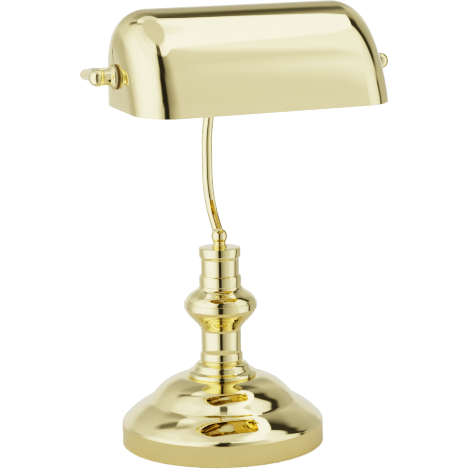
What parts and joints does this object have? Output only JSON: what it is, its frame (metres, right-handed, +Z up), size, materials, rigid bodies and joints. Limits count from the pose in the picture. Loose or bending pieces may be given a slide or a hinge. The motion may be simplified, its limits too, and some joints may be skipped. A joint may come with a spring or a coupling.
{
  "type": "banker desk lamp",
  "caption": "Brass desk lamp with a stepped round base, turned column, curved arm and tube yoke holding a long half-trough shade that tilts between two ball knobs.",
  "frame": {"origin": "centre of the felt foot on the plane the lamp stands on, on the axis of the column", "axes": "+Z up along the column, -Y is the front that the shade overhangs, X along the shade"},
  "size_m": [0.2972, 0.2322, 0.4197],
  "materials": {
    "polished_brass": "mirror polished and lacquered",
    "polished_brass_base": "mirror polished and lacquered, spun",
    "shade_brass": "mirror polished and lacquered outside, satin inside",
    "plain_brass": "as machined",
    "cast_iron": "rough cast, painted",
    "zinc_steel": "zinc plated",
    "felt": "pressed wool felt",
    "black_rubber": "moulded",
    "white_plastic": "moulded",
    "grey_nylon": "turned",
    "dark_fibre": "vulcanised fibre",
    "flex_sheath": "pvc sheath",
    "ivory_phenolic": "moulded phenolic",
    "porcelain": "glazed",
    "bulb_metal": "rolled thread",
    "opal_glass": "inside frosted"
  },
  "bodies": {
    "lamp_stand": {"base_shell": "polished_brass_base", "base_weight": "cast_iron", "base_cover": "zinc_steel", "felt_pad": "felt", "cover_screws": "zinc_steel", "cord_grommet": "black_rubber", "threaded_pipe": "zinc_steel", "pipe_washer": "zinc_steel", "pipe_nut": "zinc_steel", "terminal_block": "white_plastic", "terminal_screws": "zinc_steel", "block_screw": "zinc_steel", "earth_tag": "plain_brass", "earth_screw": "plain_brass", "column_flange": "polished_brass", "seat_disc": "polished_brass", "foot_ring": "polished_brass", "lower_sleeve": "polished_brass", "bowl": "polished_brass", "waist_band": "polished_brass", "shoulder": "polished_brass", "neck_ring": "polished_brass", "upper_sleeve": "polished_brass", "column_cap": "polished_brass", "ball_socket": "polished_brass", "arm_tube": "polished_brass", "yoke_tube": "polished_brass", "left_pivot_boss": "polished_brass", "right_pivot_boss": "polished_brass", "arm_flex": "flex_sheath"},
    "shade_assembly": {"shade": "shade_brass", "fibre_washers": "dark_fibre", "nylon_washers": "grey_nylon", "inner_washers": "zinc_steel", "pivot_nuts": "zinc_steel", "left_pivot_nipple": "plain_brass", "right_pivot_nipple": "plain_brass", "holder_bracket": "zinc_steel", "holder_nipple": "zinc_steel", "holder_nut": "zinc_steel", "holder_cap": "ivory_phenolic", "holder_core": "porcelain", "holder_body": "ivory_phenolic", "screw_shell": "plain_brass", "centre_contact": "plain_brass", "bulb_cap": "bulb_metal", "bulb_glass": "opal_glass", "holder_flex": "flex_sheath"},
    "left_knob": {"left_knob": "polished_brass"},
    "right_knob": {"right_knob": "polished_brass"}
  },
  "joints": [
    {"name": "shade_tilt", "type": "hinge", "parent": "lamp_stand", "child": "shade_assembly", "pos_m": [0, -0.0595, 0.3613], "axis": [1, 0, 0], "range_deg": [-45, 40]},
    {"name": "left_knob_turn", "type": "hinge", "parent": "shade_assembly", "child": "left_knob", "pos_m": [-0.1407, -0.0595, 0.3613], "axis": [-1, 0, 0], "range_deg": [0, 360]},
    {"name": "right_knob_turn", "type": "hinge", "parent": "shade_assembly", "child": "right_knob", "pos_m": [0.1407, -0.0595, 0.3613], "axis": [1, 0, 0], "range_deg": [0, 360]}
  ]
}
